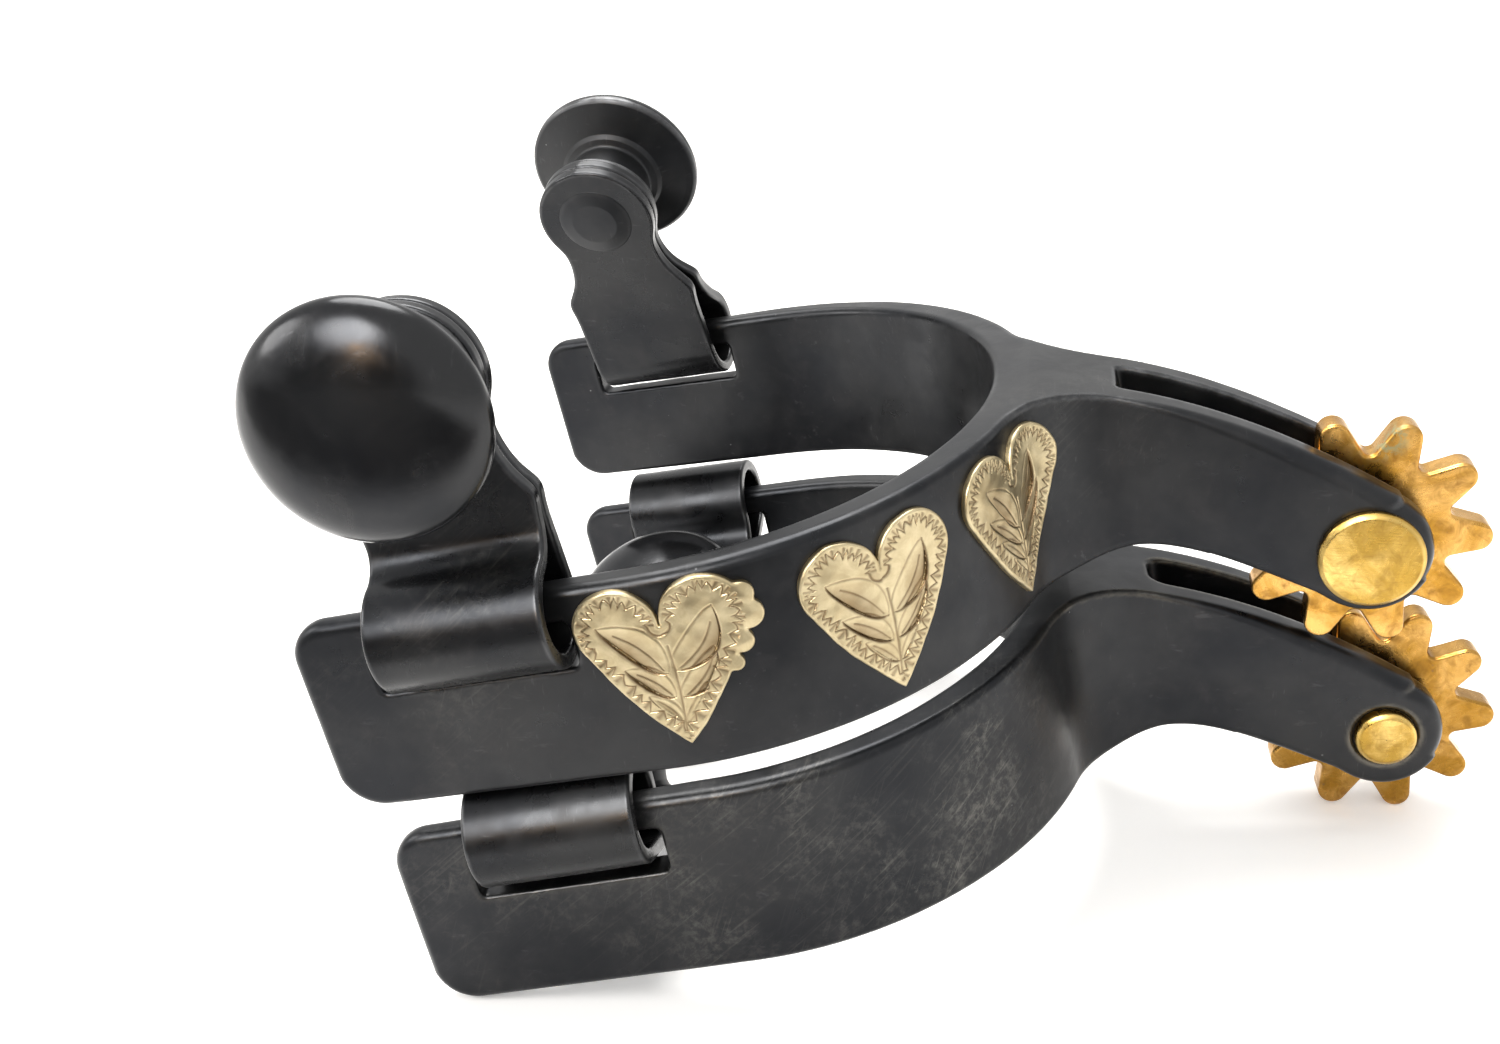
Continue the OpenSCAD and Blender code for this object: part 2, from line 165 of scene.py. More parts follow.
def sample_blocks(field, low, high, cell, block):
    """grid of field values, worked out only in blocks near the surface"""
    blocks = np.ceil((np.array(high, float) - low) / cell / block).astype(int)
    values = np.full(blocks * block + 1, 1e3, np.float32)
    centres = [low[a] + cell * (block * np.arange(blocks[a]) + block / 2) for a in range(3)]
    middle = field(*np.meshgrid(*centres, indexing="ij"))
    reach = cell * block * 0.87 * 1.35 + 1.0    # half a block's diagonal, with slack
    steps = np.arange(block + 1) * cell

    def window(corner):
        return tuple(slice(i * block, (i + 1) * block + 1) for i in corner)

    for corner in np.argwhere(np.abs(middle) < reach):
        axes = [start + steps for start in low + corner * block * cell]
        values[window(corner)] = field(*np.meshgrid(*axes, indexing="ij"))
    for corner in np.argwhere(middle <= -reach):
        deep = values[window(corner)]
        deep[deep > 999] = -1e3
    return values


def surface_net(field, low, high, cell, block=16):
    """closed surface where the field is 0, as vertices and quads"""
    low = np.array(low, float)
    values = sample_blocks(field, low, high, cell, block)
    inside = values < 0
    size = np.array(values.shape)
    filled = np.zeros(size - 1, np.int8)        # corners of each cell that lie inside
    for shift in np.ndindex(2, 2, 2):
        filled += inside[tuple(slice(s, n - 1 + s) for s, n in zip(shift, size))]
    active = (filled > 0) & (filled < 8)
    cells = np.argwhere(active)
    index = np.full(active.shape, -1, np.int64)
    index[active] = np.arange(len(cells))

    # one vertex per active cell, at the mean of its edge crossings
    total, hits = np.zeros((len(cells), 3)), np.zeros(len(cells))
    for axis in range(3):
        across = [a for a in range(3) if a != axis]
        for shift in np.ndindex(2, 2):
            start = cells.copy()
            start[:, across] += shift
            end = start.copy()
            end[:, axis] += 1
            a, b = (values[tuple(e.T)].astype(float) for e in (start, end))
            crossed = (a < 0) != (b < 0)
            offset = (start - cells).astype(float)
            offset[:, axis] += np.where(crossed, a / np.where(crossed, a - b, 1), 0)
            total[crossed] += offset[crossed]
            hits[crossed] += 1
    points = (total / hits[:, None] + cells) * cell + low

    # one quad round each crossed grid edge
    quads = []
    for axis in range(3):
        across = [(axis + 1) % 3, (axis + 2) % 3]
        lower, upper = np.delete(inside, -1, axis), np.delete(inside, 0, axis)
        edges = np.argwhere(lower != upper)
        side = edges[:, across]
        edges = edges[((side > 0) & (side < size[across] - 1)).all(1)]
        corners = []
        for shift in ((1, 1), (0, 1), (0, 0), (1, 0)):
            corner = edges.copy()
            corner[:, across] -= shift
            corners.append(index[tuple(corner.T)])
        quad = np.stack(corners, 1)
        turned = ~lower[tuple(edges.T)]
        quad[turned] = quad[turned][:, ::-1]
        quads.append(quad)
    quads = np.concatenate(quads)
    quads = quads[(quads >= 0).all(1)]

    # pull the vertices onto the surface
    step = cell * 0.25
    for _ in range(4):
        value = field(*points.T)
        slope = difference(field, points, step) / (2 * step)
        move = -(value / np.maximum((slope ** 2).sum(1), 0.2))[:, None] * slope
        length = np.linalg.norm(move, axis=1, keepdims=True)
        points = points + move * np.minimum(1, 0.6 * cell / np.maximum(length, 1e-9))
    return points, quads


# ------------------------------------------------------------------ meshes and profiles
def make(spur, name, points, faces, material, body, node, attributes, flip=False):
    """one mesh piece from row points in mm; name, body and node get the spur's prefix"""
    if flip:
        faces = faces[:, ::-1]
    mesh = bpy.data.meshes.new(f"{spur}_{name}")
    mesh.vertices.add(len(points))
    mesh.vertices.foreach_set("co", (points / 1000).astype(np.float32).ravel())
    mesh.loops.add(faces.size)
    mesh.loops.foreach_set("vertex_index", faces.astype(np.int32).ravel())
    mesh.polygons.add(len(faces))
    mesh.polygons.foreach_set("loop_start", np.arange(0, faces.size, 4, dtype=np.int32))
    mesh.polygons.foreach_set("use_smooth", np.ones(len(faces), bool))
    mesh.update(calc_edges=True)
    mesh.validate()
    for key, values in attributes.items():
        mesh.attributes.new(key, "FLOAT", "POINT").data.foreach_set(
            "value", np.asarray(values, np.float32))
    piece = bpy.data.objects.new(f"{spur}_{name}", mesh)
    SCENE.collection.objects.link(piece)
    mesh.materials.append(material)
    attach(piece, f"{spur}_{body}")
    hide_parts(f"{spur}_{node}")


def split(points, step):
    """the same open polyline with its corners kept and its runs split to short steps"""
    out = [points[0]]
    for a, b in zip(points[:-1], points[1:]):
        k = max(1, int(math.ceil(math.dist(a, b) / step)))
        out += [(a[0] + (b[0] - a[0]) * i / k, a[1] + (b[1] - a[1]) * i / k)
                for i in range(1, k + 1)]
    return out


def rounded(stations, pieces):
    """open polyline from (x, y, corner radius) stations, its corners turned to curves"""
    points = [np.array(station[:2], float) for station in stations]
    out = [stations[0][:2]]
    for i in range(1, len(points) - 1):
        corner, radius = points[i], stations[i][2]
        if radius <= 0:
            out.append(tuple(corner))
            continue
        before, after = points[i - 1] - corner, points[i + 1] - corner
        len_a, len_b = np.linalg.norm(before), np.linalg.norm(after)
        to_a, to_b = before / len_a, after / len_b
        half = math.acos(max(-1, min(1, float(to_a @ to_b)))) / 2
        trim = min(radius / max(math.tan(half), 1e-3), 0.49 * len_a, 0.49 * len_b)
        start, end = corner + to_a * trim, corner + to_b * trim
        for k in range(pieces + 1):
            s = k / pieces
            out.append(tuple((1 - s) ** 2 * start + 2 * s * (1 - s) * corner + s * s * end))
    out.append(stations[-1][:2])
    return out


def lathe(profile, turns):
    """(radius, height) profile turned about its axis; points are (x, z, height)"""
    profile = np.array(split(profile, 0.3), float)
    m = len(profile)
    a = np.arange(turns) * 2 * math.pi / turns
    points = np.stack([np.outer(np.cos(a), profile[:, 0]), np.outer(np.sin(a), profile[:, 0]),
                       np.tile(profile[:, 1], (turns, 1))], -1).reshape(-1, 3)
    i, j = (g.ravel() for g in np.meshgrid(np.arange(turns), np.arange(m - 1), indexing="ij"))
    after = (i + 1) % turns
    faces = np.stack([i * m + j, after * m + j, after * m + j + 1, i * m + j + 1], 1)
    return points, faces


def ring_weight(radius, at, width):
    """1 at the radius 'at', fading to 0 a width away"""
    return np.clip(1 - np.abs(radius - at) / width, 0, 1)


def outline_fields(polygon, low, high, step):
    """samplers for a closed polygon: signed distance, and length along it"""
    gx = np.arange(low[0], high[0] + step, step)
    gz = np.arange(low[1], high[1] + step, step)
    x, z = np.meshgrid(gx, gz, indexing="ij")
    nearest = np.full(x.shape, 1e9)
    along = np.zeros(x.shape)
    inside = np.zeros(x.shape, bool)
    done = 0.0
    for a, b in zip(polygon, np.roll(polygon, -1, 0)):
        d = b - a
        length = math.hypot(*d)
        if length < 1e-9:
            continue
        t = np.clip(((x - a[0]) * d[0] + (z - a[1]) * d[1]) / length ** 2, 0, 1)
        gap = np.hypot(x - a[0] - t * d[0], z - a[1] - t * d[1])
        closer = gap < nearest
        nearest[closer] = gap[closer]
        along[closer] = (done + t * length)[closer]
        done += length
        if d[1] != 0:
            spans = (a[1] > z) != (b[1] > z)
            inside ^= spans & (x < a[0] + (z - a[1]) * d[0] / d[1])
    cell = gx[1] - gx[0]

    def sampler(table):
        def sample(x, z):
            i = np.clip((x - gx[0]) / cell, 0, len(gx) - 1.001)
            j = np.clip((z - gz[0]) / cell, 0, len(gz) - 1.001)
            a, b = i.astype(int), j.astype(int)
            u, v = i - a, j - b
            return (table[a, b] * (1 - u) * (1 - v) + table[a + 1, b] * u * (1 - v)
                    + table[a, b + 1] * (1 - u) * v + table[a + 1, b + 1] * u * v)
        return sample
    return sampler(np.where(inside, -nearest, nearest)), sampler(along)


# ------------------------------------------------------------------ shader helpers
class Nodes:
    """wires shader nodes; an input is given as a socket or as a plain value"""
    def __init__(self, tree, coordinates="Object"):
        self.tree = tree
        self.coords = self.add("TexCoord").outputs[coordinates]

    def feed(self, node, inputs):
        for key, value in inputs.items():
            socket = node.inputs[key]
            if isinstance(value, bpy.types.NodeSocket):
                self.tree.links.new(value, socket)
            else:
                socket.default_value = (*value, 1.0) if socket.type == "RGBA" else value

    def add(self, kind, inputs=None, **settings):
        node = self.tree.nodes.new("ShaderNode" + kind)
        for key, value in settings.items():
            setattr(node, key, value)
        self.feed(node, inputs or {})
        return node

    def noise(self, scale, detail=4, rough=0.55, vec=None, dist=0.0):
        return self.add("TexNoise", {
            "Vector": vec or self.coords, "Scale": scale, "Detail": detail,
            "Roughness": rough, "Distortion": dist}).outputs["Fac"]

    def stretched(self, scale, turn):
        return self.add("Mapping", {
            "Vector": self.coords, "Scale": scale, "Rotation": turn}).outputs[0]

    def slant(self, along, across, depth, angle):
        """space for long marks running up to the right at an angle from the horizontal"""
        return self.add("Mapping", {
            "Vector": self.coords, "Scale": (1 / along, 1 / depth, 1 / across),
            "Rotation": (0, -angle, 0)}, vector_type="TEXTURE").outputs[0]

    def spots(self, scale, over):
        """1 at the middle of scattered spots, 0 beyond them"""
        spread = self.add("TexVoronoi", {"Vector": self.coords, "Scale": scale})
        return self.ramp(spread.outputs["Distance"], over=over, to=(1, 0))

    def ramp(self, value, over, to=(0.0, 1.0)):
        return self.add("MapRange", {
            "Value": value, "From Min": over[0], "From Max": over[1],
            "To Min": to[0], "To Max": to[1]}, interpolation_type="SMOOTHSTEP").outputs["Result"]

    def math(self, operation, a, b, clamp=False):
        return self.add("Math", {0: a, 1: b}, operation=operation, use_clamp=clamp).outputs[0]

    def times(self, a, b, clamp=False):
        return self.math("MULTIPLY", a, b, clamp)

    def mix(self, amount, a, b):
        return self.add("Mix", {"Factor": amount, 6: a, 7: b}, data_type="RGBA").outputs[2]

    def tint(self, color, toward, mask, strength, clamp=False):
        return self.mix(self.times(mask, strength, clamp), color, toward)

    def attr(self, name):
        return self.add("Attribute", attribute_name=name).outputs["Fac"]

    def bumps(self, *layers):
        """layers: (height, strength, distance in metres)"""
        normal = None
        for height, strength, distance in layers:
            inputs = {"Height": height, "Strength": strength, "Distance": distance}
            if normal:
                inputs["Normal"] = normal
            normal = self.add("Bump", inputs).outputs[0]
        return normal

    def near(self, point, radius, fade):
        """1 within radius metres of a point, 0 beyond fade"""
        away = self.add("VectorMath", {0: self.coords, 1: point}, operation="DISTANCE")
        return self.ramp(away.outputs["Value"], over=(radius, fade), to=(1.0, 0.0))


def new_material(name):
    material = bpy.data.materials.new(name)
    material.use_nodes = True
    tree = material.node_tree
    tree.nodes.clear()
    output = tree.nodes.new("ShaderNodeOutputMaterial")
    shader = tree.nodes.new("ShaderNodeBsdfPrincipled")
    tree.links.new(shader.outputs[0], output.inputs[0])
    return material, Nodes(tree), shader


# ------------------------------------------------------------------ materials
def rub(n, color, point, radius, fade, amount):
    """rubbed patch: fine slanting hairlines over a thin pale haze"""
    def hairs(over, **lie):
        return n.ramp(n.noise(scale=1, detail=5, rough=0.6, vec=n.slant(**lie)), over=over)

    spot = n.near(point, radius, fade)
    steep = hairs(along=110, across=3200, depth=200, angle=1.25, over=(0.57, 0.72))
    shallow = hairs(along=75, across=2600, depth=160, angle=0.72, over=(0.54, 0.70))
    haze = n.ramp(n.noise(scale=75, detail=8, rough=0.66, dist=0.3), over=(0.40, 0.68))
    grain = n.ramp(n.noise(scale=900, detail=5, rough=0.7), over=(0.42, 0.68))
    lines = n.math("MAXIMUM", shallow, n.times(steep, 0.8))
    hazed = n.times(n.times(haze, grain), 0.55)
    lined = n.times(n.times(lines, n.math("ADD", haze, 0.15)), 0.55)
    mask = n.times(spot, n.math("ADD", hazed, lined))
    return n.tint(color, (0.120, 0.116, 0.106), mask, strength=amount, clamp=True)


def steel(name, tone, rough, rubs=(), worn=(0.165, 0.167, 0.172)):
    """blued steel; rubs are (point, radius, fade radius, amount) in metres, worn the edge colour"""
    def toned(*color):
        return tuple(part * tone for part in color)

    material, n, shader = new_material(name)
    broad = n.noise(scale=38, detail=5, rough=0.6)
    middling = n.noise(scale=170, detail=6, rough=0.62, dist=0.4)
    grain = n.noise(scale=1500, rough=0.6)
    streaks = n.noise(scale=1, detail=5, rough=0.6,
                      vec=n.stretched(scale=(240, 2600, 900), turn=(0.3, 0.16, 0.5)))
    cross_streaks = n.noise(scale=1, rough=0.6,
                            vec=n.stretched(scale=(2400, 300, 420), turn=(0.1, 0.7, 0.2)))
    color = n.mix(n.ramp(broad, over=(0.34, 0.66)),
                  toned(0.0115, 0.0126, 0.0152), toned(0.0265, 0.0270, 0.0282))
    color = n.mix(n.ramp(middling, over=(0.50, 0.80), to=(0, 0.40)),
                  color, toned(0.040, 0.039, 0.040))
    # fine polishing marks
    marks = n.math("MAXIMUM",
                   n.times(n.ramp(streaks, over=(0.60, 0.72)), n.ramp(middling, over=(0.42, 0.62))),
                   n.times(n.ramp(cross_streaks, over=(0.62, 0.74)), n.ramp(broad, over=(0.5, 0.6))))
    color = n.tint(color, (0.10, 0.10, 0.105), marks, strength=0.22)
    # bright worn edges
    patchy = n.ramp(n.noise(scale=420, detail=5, rough=0.6), over=(0.30, 0.62), to=(0.25, 1.0))
    color = n.tint(color, worn, n.times(n.attr("edge"), patchy), strength=0.55)
    roughness = n.math("ADD", n.ramp(middling, over=(0.3, 0.75), to=(rough - 0.07, rough + 0.10)),
                       n.times(n.attr("dull"), 0.24))
    for patch in rubs:
        color = rub(n, color, *patch)
    # pin-prick light specks
    specks = n.times(n.spots(scale=330, over=(0.035, 0.055)),
                     n.ramp(n.noise(scale=60, detail=3), over=(0.56, 0.62)))
    color = n.tint(color, (0.30, 0.30, 0.30), specks, strength=0.45)
    normal = n.bumps((broad, 0.10, 0.0006), (middling, 0.10, 0.00015),
                     (grain, 0.14, 0.00003), (marks, 0.12, 0.00003))
    n.feed(shader, {"Base Color": color, "Roughness": roughness, "Metallic": 0.78,
                    "Normal": normal})
    return material


def brass(name, base, dark, light, tone=1.0, patina=None, brushed=False):
    """brass; tone scales its colours, patina is (point, radius, fade radius) in metres"""
    base, dark, light = (tuple(part * tone for part in color) for color in (base, dark, light))
    material, n, shader = new_material(name)
    broad = n.noise(scale=120, detail=5, rough=0.62, dist=0.6)
    middling = n.noise(scale=420, detail=6, rough=0.65, dist=0.8)
    grain = n.noise(scale=2600, rough=0.6)
    color = n.mix(n.ramp(broad, over=(0.38, 0.68)), base, light)
    color = n.mix(n.ramp(middling, over=(0.46, 0.74), to=(0, 0.75)), color, dark)
    if brushed:
        strokes = n.noise(scale=1, detail=5, rough=0.6,
                          vec=n.stretched(scale=(500, 500, 3600), turn=(0, 0.5, 0)))
        color = n.mix(n.ramp(strokes, over=(0.5, 0.75), to=(0, 0.45)), color, dark)
        nicks = n.times(n.spots(scale=420, over=(0.05, 0.09)), n.ramp(broad, over=(0.55, 0.6)))
        color = n.tint(color, (0.10, 0.07, 0.03), nicks, strength=0.8)
        normal = n.bumps((strokes, 0.25, 0.00005), (grain, 0.15, 0.00003))
    else:
        pits = n.times(n.spots(scale=900, over=(0.10, 0.22)), n.ramp(middling, over=(0.5, 0.64)))
        color = n.tint(color, (0.16, 0.10, 0.05), pits, strength=0.55)
        normal = n.bumps((broad, 0.3, 0.00025), (middling, 0.35, 0.00010), (grain, 0.25, 0.00004))
    # lighter on worn edges; on rowels and pins the same weight also carries painted highlights on
    # the point sides, the head's bevel and the tail's rim
    color = n.tint(color, light, n.attr("edge"), strength=0.75)
    roughness = n.ramp(middling, over=(0.3, 0.75), to=(0.21, 0.41))
    metallic = 1.0
    if patina:
        crust = n.times(n.near(*patina),
                        n.ramp(n.noise(scale=700, detail=5, rough=0.7), over=(0.46, 0.58)))
        color = n.mix(crust, color, (0.24, 0.25, 0.13))
        roughness = n.math("ADD", roughness, n.times(crust, 0.3))
        metallic = n.math("SUBTRACT", 1.0, n.times(crust, 0.8))
    n.feed(shader, {"Base Color": color, "Roughness": roughness, "Metallic": metallic,
                    "Normal": normal})
    return material


def silver(name):
    """pale overlay metal, brown in its cuts, with painted shade on the deep side of each engraved
    leaf
    """
    material, n, shader = new_material(name)
    middling = n.noise(scale=300, detail=6, rough=0.65, dist=0.5)
    grain = n.noise(scale=2200, detail=5, rough=0.6)
    color = n.mix(n.ramp(middling, over=(0.35, 0.70)), (0.40, 0.325, 0.19), (0.56, 0.475, 0.30))
    # brown in the cut lines; the same attribute also carries painted shade over the deep side of
    # each leaf blade
    color = n.tint(color, (0.105, 0.058, 0.026), n.attr("cut"), strength=0.85, clamp=True)
    color = n.tint(color, (0.36, 0.25, 0.10), n.attr("edge"), strength=0.5)
    n.feed(shader, {"Base Color": color, "Metallic": 0.9,
                    "Roughness": n.ramp(middling, over=(0.3, 0.75), to=(0.30, 0.46)),
                    "Normal": n.bumps((middling, 0.25, 0.00006), (grain, 0.2, 0.00003))})
    return material


def table_material():
    """pale table; in reflections only, it falls dark beyond its near left part"""
    material, n, shader = new_material("pale_table")
    place = n.add("SeparateXYZ", {0: n.coords}).outputs
    dark = n.times(n.ramp(place["Y"], over=(-0.095, -0.165)), n.ramp(place["X"], over=(0.22, 0.06)))
    dark = n.times(dark, n.add("LightPath").outputs["Is Glossy Ray"])
    pale = n.mix(n.ramp(n.noise(scale=9), over=(0.3, 0.7)),
                 (0.96, 0.945, 0.925), (0.975, 0.965, 0.95))
    n.feed(shader, {"Base Color": n.mix(dark, pale, (0.02, 0.02, 0.02)), "Roughness": 0.6,
                    "Emission Color": (1.0, 0.995, 0.985),
                    "Emission Strength": n.times(n.math("SUBTRACT", 1.0, dark), 0.24)})
    return material


# ------------------------------------------------------------------ heel band with shank
DROP_X = 47                     # where the upper and lower edges start to curve
LOW_X = 57                      # where the lower edge starts to fall
END_TOP_R, END_LOW_R = 4.7, 5.4                 # corners of the arm's end, seen from the side
HANGER_SLOT_S, HANGER_SLOT_TOP = (9.3, 33.1), 20.8      # ends along the arm, upper edge
# edge rounding along the band: x stations, radii
OUTER_TOP_ROUND = [-30, 20, 40, 46, 58, 66, 78], [1.28, 1.28, 0.9, 0.45, 0.5, 1.0, 2.0]
OUTER_LOW_ROUND = [-30, 30, 46, 70], [1.1, 1.1, 0.8, 0.9]
INNER_TOP_ROUND = [-30, 10, 36], [1.28, 1.28, 0.9]


def top_edge(x):
    """height and slope of the upper edge"""
    past = x - DROP_X
    return (np.where(x < DROP_X, BAND_H, BAND_H - 0.16 * past - 0.0081 * past ** 2),
            np.where(x < DROP_X, 0, -0.16 - 2 * 0.0081 * past))


def low_edge(x):
    """height and steepness of the lower edge"""
    rise = 0.6 * (1 - np.cos(np.radians(18 * (np.clip(x, DROP_X, LOW_X) - DROP_X))))
    t = (np.maximum(x, LOW_X) - LOW_X) / 10
    root = np.sqrt(1 + t * t)
    return np.where(x < LOW_X, rise, 1.2 - 7 * (root - 1)), 0.7 * t / root


def turned_plan(x, y, tilt):
    return x * math.cos(tilt) - y * math.sin(tilt), x * math.sin(tilt) + y * math.cos(tilt)


def outer_plan(x, y):
    """plan distance to the outer face: tilted arm, heel curve, fillet and shank"""
    u, v = turned_plan(x - HEEL_OUT_X, y, OUTER_TILT)
    heel = np.where(u < 0, v, np.hypot(u, v)) - HEEL_OUT_R
    shank = y - np.interp(x, [FILLET_X, SHANK_X1], [SHANK_Y0, SHANK_Y1])
    fx, fy = x - FILLET_X, y - FILLET_Y
    toward = np.array([HEEL_OUT_X - FILLET_X, -FILLET_Y])
    toward = toward / np.linalg.norm(toward)
    in_fillet = (toward[0] * fy - toward[1] * fx > 0) & (fx < 0) & (fy < 0)
    return np.where(in_fillet, FILLET_R - np.hypot(fx, fy), np.minimum(heel, shank))


def inner_plan(x, y):
    u, v = turned_plan(x, y, INNER_TILT)
    return np.where(u < 0, v, np.hypot(u, v)) - HEEL_IN_R


def band_field(seed, slot_round, slot_low):
    """slot_round: corner of the rowel slot; slot_low: lower edge of the hanger slots"""
    def field(x, y, z):
        side = np.abs(y)
        outer, inner = outer_plan(x, side), -inner_plan(x, side)
        along = math.cos(ARM_A) * (x + ARM_L) - math.sin(ARM_A) * (side - ARM_MID)
        along = np.where((x < 15) & (side > 20), along, 50.0)
        (top, top_slope), (low, low_slope) = top_edge(x), low_edge(x)
        above = (z - top) / np.sqrt(1 + top_slope * top_slope)
        below = (low - z) / np.sqrt(1 + low_slope * low_slope)
        upper, lower = meet(-along, above, END_TOP_R), meet(-along, below, END_LOW_R)
        # the shank's end: cut on a slant and merged with the round about the pin
        slant = (x - PIN_X) * 0.817 - (z - PIN_Z) * 0.577
        from_pin = np.hypot(x - PIN_X, z - PIN_Z)
        shank = np.maximum(np.maximum(above, below), slant)
        far = x > 66
        upper = np.where(far, merge(shank, from_pin - SHANK_TIP_R, 0.6), upper)
        lower = np.where(far, upper, lower)
        top_r = np.where(far & (below > above), 1.1, np.interp(x, *OUTER_TOP_ROUND))
        low_r = np.where(far, top_r, np.interp(x, *OUTER_LOW_ROUND))
        d = np.maximum(
            np.maximum(meet(outer, upper, top_r), meet(outer, lower, low_r)),
            np.maximum(meet(inner, upper, np.interp(x, *INNER_TOP_ROUND)), meet(inner, lower, 1.0)))
        hanger_slot = meet(within(along, *HANGER_SLOT_S), within(z, slot_low, HANGER_SLOT_TOP), 0.9)
        d = meet(d, -np.where(along < 45, hanger_slot, 10.0), 0.35)
        rowel_slot = meet(side - ROWEL_SLOT_Y, ROWEL_SLOT_X - x, slot_round)
        d = meet(d, -np.where(x > 50, rowel_slot, 10.0), 0.35)
        # ring let into the inner cheek round the pin's end
        ring = np.maximum(from_pin - 4.3, y + SHANK_Y1 - 0.45)
        d = meet(d, -np.where(x > 70, ring, 10.0), 0.2)
        return d - 0.045 * uneven(x, y, z, 7.0, seed) - 0.012 * uneven(x, y, z, 1.6, seed + 1)
    return field


def build_bands():
    # metres: point, radius, fade radius, amount
    right_rubs = [((-0.012, -0.0415, 0.016), 0.014, 0.040, 0.75),
                  ((0.012, -0.034, 0.022), 0.010, 0.026, 0.8),
                  ((0.012, -0.026, 0.034), 0.006, 0.018, 0.5),
                  ((-0.055, -0.040, 0.012), 0.006, 0.022, 0.35)]
    left_rubs = [((-0.060, -0.041, 0.045), 0.006, 0.020, 0.25),
                 ((0.016, -0.008, 0.064), 0.005, 0.016, 0.35)]
    materials = {
        "right": steel("blued_steel_right", tone=1.0, rough=0.34, rubs=right_rubs,
                       worn=(0.165, 0.150, 0.122)),
        "left": steel("blued_steel_left", tone=0.95, rough=0.34, rubs=left_rubs)}
    fields = {"right": band_field(seed=11, slot_round=2.6, slot_low=14.7),
              "left": band_field(seed=23, slot_round=1.0, slot_low=14.85)}
    for spur in SPURS:
        field = fields[spur]
        points, faces = surface_net(field, (-38.2, -50.2, -13.2), (94.4, 50.2, 26.2), BAND_CELL)
        edge, _ = convexity(field, points, reach=0.9)
        # painted shade: the hanger slots' edges keep little of the worn-edge lightening, so they
        # stay dark where the hangers shade them
        x, y, z = points.T
        shaded_slot_lip = (x < -2.5) & (np.abs(y) > 38) & (z > 13.6) & (z < 21.6)
        edge = np.where(shaded_slot_lip, edge * 0.15, edge)
        make(spur, "heel_band_skin", in_row(spur, points), faces, materials[spur], "spur_frame",
             "heel_band", {"edge": edge}, flip=OUTWARD[spur] < 0)


# ------------------------------------------------------------------ rowels
LOBE_R, GAP_R, GAP_AT = 1.95, 1.0, 12.0         # point's round, gap's round and its distance


def rowel_field(seed):
    """star worked out on half of one point, in a frame with x through the point"""
    half_step = math.pi / ROWEL_POINTS
    lobe = np.array([ROWEL_R - LOBE_R, 0.0])
    gap = GAP_AT * np.array([math.cos(half_step), math.sin(half_step)])
    apart = np.linalg.norm(gap - lobe)
    aim = math.atan2(gap[1], gap[0] - lobe[0]) - math.acos((LOBE_R + GAP_R) / apart)
    normal = np.array([math.cos(aim), math.sin(aim)])
    start = lobe + LOBE_R * normal
    flank = np.array([-normal[1], normal[0]])
    run = math.sqrt(apart * apart - (LOBE_R + GAP_R) ** 2)

    def field(x, y, z):
        radius = np.hypot(x, y)
        angle = np.abs((np.arctan2(y, x) + half_step) % (2 * half_step) - half_step)
        u, v = radius * np.cos(angle), radius * np.sin(angle)
        t = (u - start[0]) * flank[0] + (v - start[1]) * flank[1]
        tip = np.hypot(u - lobe[0], v) - LOBE_R
        side = (u - lobe[0]) * normal[0] + v * normal[1] - LOBE_R
        hollow = GAP_R - np.hypot(u - gap[0], v - gap[1])
        d = np.where(t < 0, tip, np.where(t < run, side, hollow))
        d = meet(d, np.abs(z) - ROWEL_T / 2, 0.42)
        d = meet(d, 4.08 - radius, 0.3)         # pin hole
        return d - 0.045 * uneven(x, y, z, 2.2, seed)
    return field


def build_rowels():
    # spur, turn in degrees, seed, colour tone, patina
    for spur, turn, seed, tone, patina in (
            ("right", 97.0, 5, 0.82, None),
            ("left", 98.5, 8, 1.0, ((0.0535, -0.0035, 0.0595), 0.0015, 0.0045))):
        field = rowel_field(seed)
        points, faces = surface_net(field, (-16.2, -16.2, -2.1), (16.2, 16.2, 2.1), PART_CELL, 12)
        edge, normal = convexity(field, points, reach=0.5)
        x, y, z = points.T
        # painted highlight: beyond the hub the sides of the points are lightened too, for the light
        # they catch; the convex edges themselves are worn lighter
        flank = 0.22 * np.hypot(normal[:, 0], normal[:, 1]) * (np.hypot(x, y) > 8)
        edge = np.clip(np.maximum(edge, flank), 0, 1)
        u, v = turned_plan(x, y, math.radians(turn))
        material = brass("rowel_brass_" + spur, base=(0.36, 0.182, 0.027),
                         dark=(0.19, 0.088, 0.018), light=(0.64, 0.37, 0.11),
                         tone=tone, patina=patina)
        make(spur, "rowel_star", posed(spur, np.stack([u + PIN_X, -z, v + PIN_Z], 1)), faces,
             material, "rowel_wheel", "rowel", {"edge": edge})


# ------------------------------------------------------------------ rowel pins
# radius, height (+ outward), corner radius
PIN_PROFILE = [
    (0, -SHANK_Y1 - 1.25, 0), (3.3, -SHANK_Y1 - 1.18, 0.6), (3.98, -SHANK_Y1 - 0.75, 0.5),
    (3.95, SHANK_Y1 - 0.2, 0), (6.45, SHANK_Y1 + 0.02, 0.1), (6.45, SHANK_Y1 + 0.78, 0.25),
    (5.85, SHANK_Y1 + 1.25, 0.35), (0, SHANK_Y1 + 1.42, 0)]


